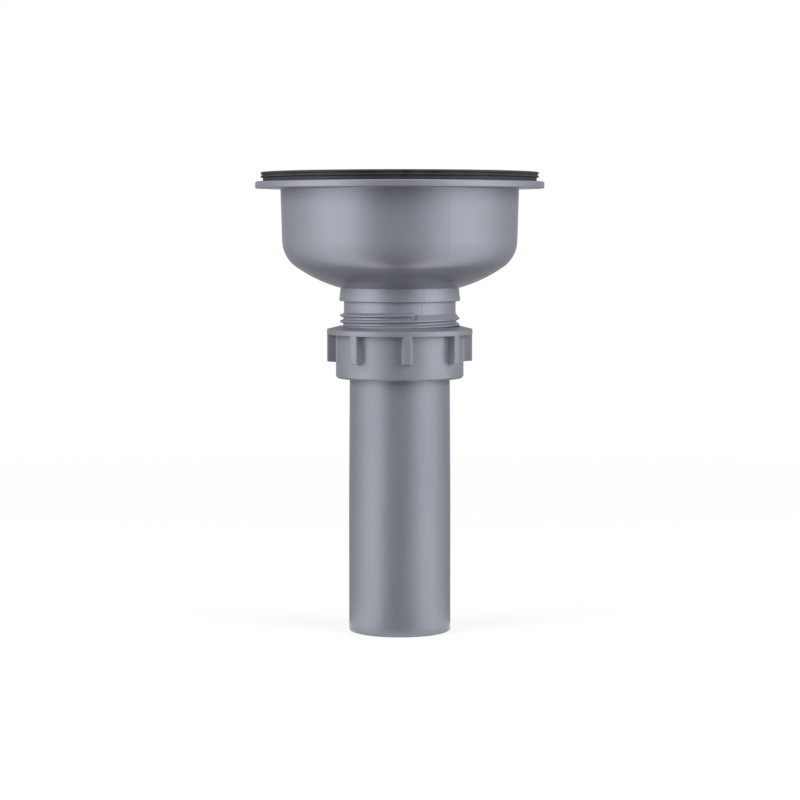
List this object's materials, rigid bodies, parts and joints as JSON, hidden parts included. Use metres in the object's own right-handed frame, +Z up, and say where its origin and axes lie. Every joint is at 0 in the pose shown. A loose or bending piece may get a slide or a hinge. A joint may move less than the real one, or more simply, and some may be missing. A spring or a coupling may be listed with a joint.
{
  "type": "sink waste",
  "caption": "Moulded sink waste: flanged bowl with a rubber rim gasket, threaded outlet with a screw boss, ribbed slip nut and straight tail pipe.",
  "frame": {"origin": "on the axis, in the plane of the gasket's top face, where the waste meets the underside of the sink", "axes": "+Z up along the axis, out of the bowl's mouth; -Y is the front"},
  "size_m": [0.1142, 0.1142, 0.1823],
  "materials": {
    "grey_body": "semi-gloss moulded polypropylene",
    "black_rubber": "matt moulded rubber",
    "insert_brass": "turned brass",
    "washer_rubber": "matt cut rubber",
    "grey_nut": "satin moulded polypropylene",
    "grey_pipe": "semi-gloss moulded polypropylene"
  },
  "bodies": {
    "waste": {"waste_body": "grey_body", "rim_gasket": "black_rubber", "screw_insert": "insert_brass"},
    "washer": {"seal_washer": "washer_rubber"},
    "nut": {"slip_nut": "grey_nut"},
    "pipe": {"tail_pipe": "grey_pipe"}
  },
  "joints": [
    {"name": "pipe_drop", "type": "slide", "parent": "waste", "child": "washer", "axis": [0, 0, -1], "range_m": [0, 0.01155]},
    {"name": "nut_turn", "type": "hinge", "parent": "washer", "child": "nut", "pos_m": [0, 0, -0.07584], "axis": [0, 0, -1], "range_deg": [0, 1800]},
    {"name": "pipe_swivel", "type": "hinge", "parent": "washer", "child": "pipe", "pos_m": [0, 0, -0.07584], "axis": [0, 0, -1], "continuous": true}
  ],
  "couplings": [
    {"joint": "pipe_drop", "follows": "nut_turn", "m_per_rad": 0.00036749}
  ]
}
